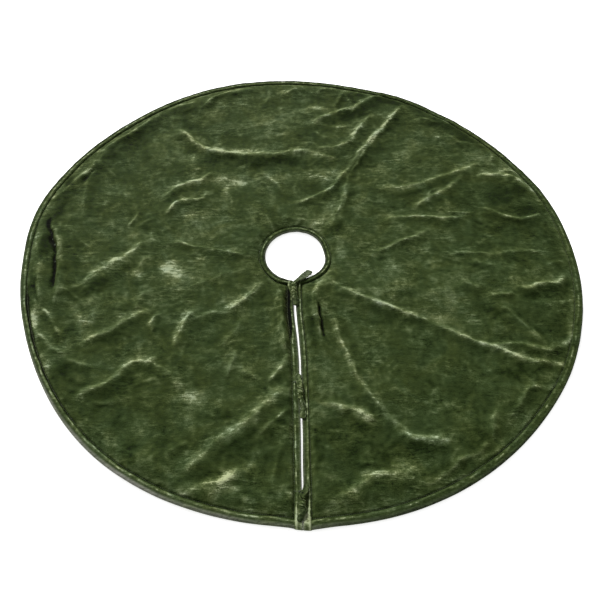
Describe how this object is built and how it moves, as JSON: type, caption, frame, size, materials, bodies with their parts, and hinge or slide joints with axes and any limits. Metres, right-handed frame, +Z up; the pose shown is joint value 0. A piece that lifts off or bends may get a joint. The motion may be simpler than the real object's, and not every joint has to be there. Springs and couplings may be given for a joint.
{
  "type": "tree skirt",
  "caption": "Round velvet tree skirt lying flat, with a trunk hole, a slit to the hem closed by knotted ties, rolled hems and a lining; its front flaps fold up and back.",
  "frame": {"origin": "centre of the trunk hole, on the floor", "axes": "+Z up out of the velvet face; the slit runs along -Y from the trunk hole to the hem; +X is to the right of someone who stands at the slit and looks at the hole"},
  "size_m": [1.22, 1.22, 0.0158],
  "materials": {
    "velvet_face": "crushed dark moss-green cotton velvet with a short pile and a soft sheen",
    "velvet_hem": "the same velvet rolled over the edges and stitched down",
    "velvet_tie": "the same velvet sewn into soft flat ties",
    "lining": "plain-woven dark green cotton",
    "thread": "matching green sewing thread"
  },
  "bodies": {
    "back_half": {"velvet_face_back": "velvet_face", "rim_hem_back": "velvet_hem", "trunk_hole_hem_back": "velvet_hem", "lining_back": "lining", "rim_topstitch_back": "thread", "trunk_hole_topstitch_back": "thread"},
    "left_flap": {"velvet_face_left": "velvet_face", "rim_hem_left": "velvet_hem", "trunk_hole_hem_left": "velvet_hem", "slit_hem_left": "velvet_hem", "tie_top_left": "velvet_tie", "tie_middle_left": "velvet_tie", "tie_bottom_left": "velvet_tie", "lining_left": "lining", "rim_topstitch_left": "thread", "trunk_hole_topstitch_left": "thread", "slit_topstitch_left": "thread", "bar_tack_top_left": "thread", "bar_tack_middle_left": "thread", "bar_tack_bottom_left": "thread"},
    "right_flap": {"velvet_face_right": "velvet_face", "rim_hem_right": "velvet_hem", "trunk_hole_hem_right": "velvet_hem", "slit_hem_right": "velvet_hem", "tie_top_right": "velvet_tie", "tie_middle_right": "velvet_tie", "tie_bottom_right": "velvet_tie", "lining_right": "lining", "rim_topstitch_right": "thread", "trunk_hole_topstitch_right": "thread", "slit_topstitch_right": "thread", "bar_tack_top_right": "thread", "bar_tack_middle_right": "thread", "bar_tack_bottom_right": "thread"}
  },
  "joints": [
    {"name": "left_flap_fold", "type": "hinge", "parent": "back_half", "child": "left_flap", "pos_m": [0, 0, 0.0062], "axis": [-1, 0, 0], "range_deg": [0, 170]},
    {"name": "right_flap_fold", "type": "hinge", "parent": "back_half", "child": "right_flap", "pos_m": [0, 0, 0.0062], "axis": [-1, 0, 0], "range_deg": [0, 170]}
  ]
}
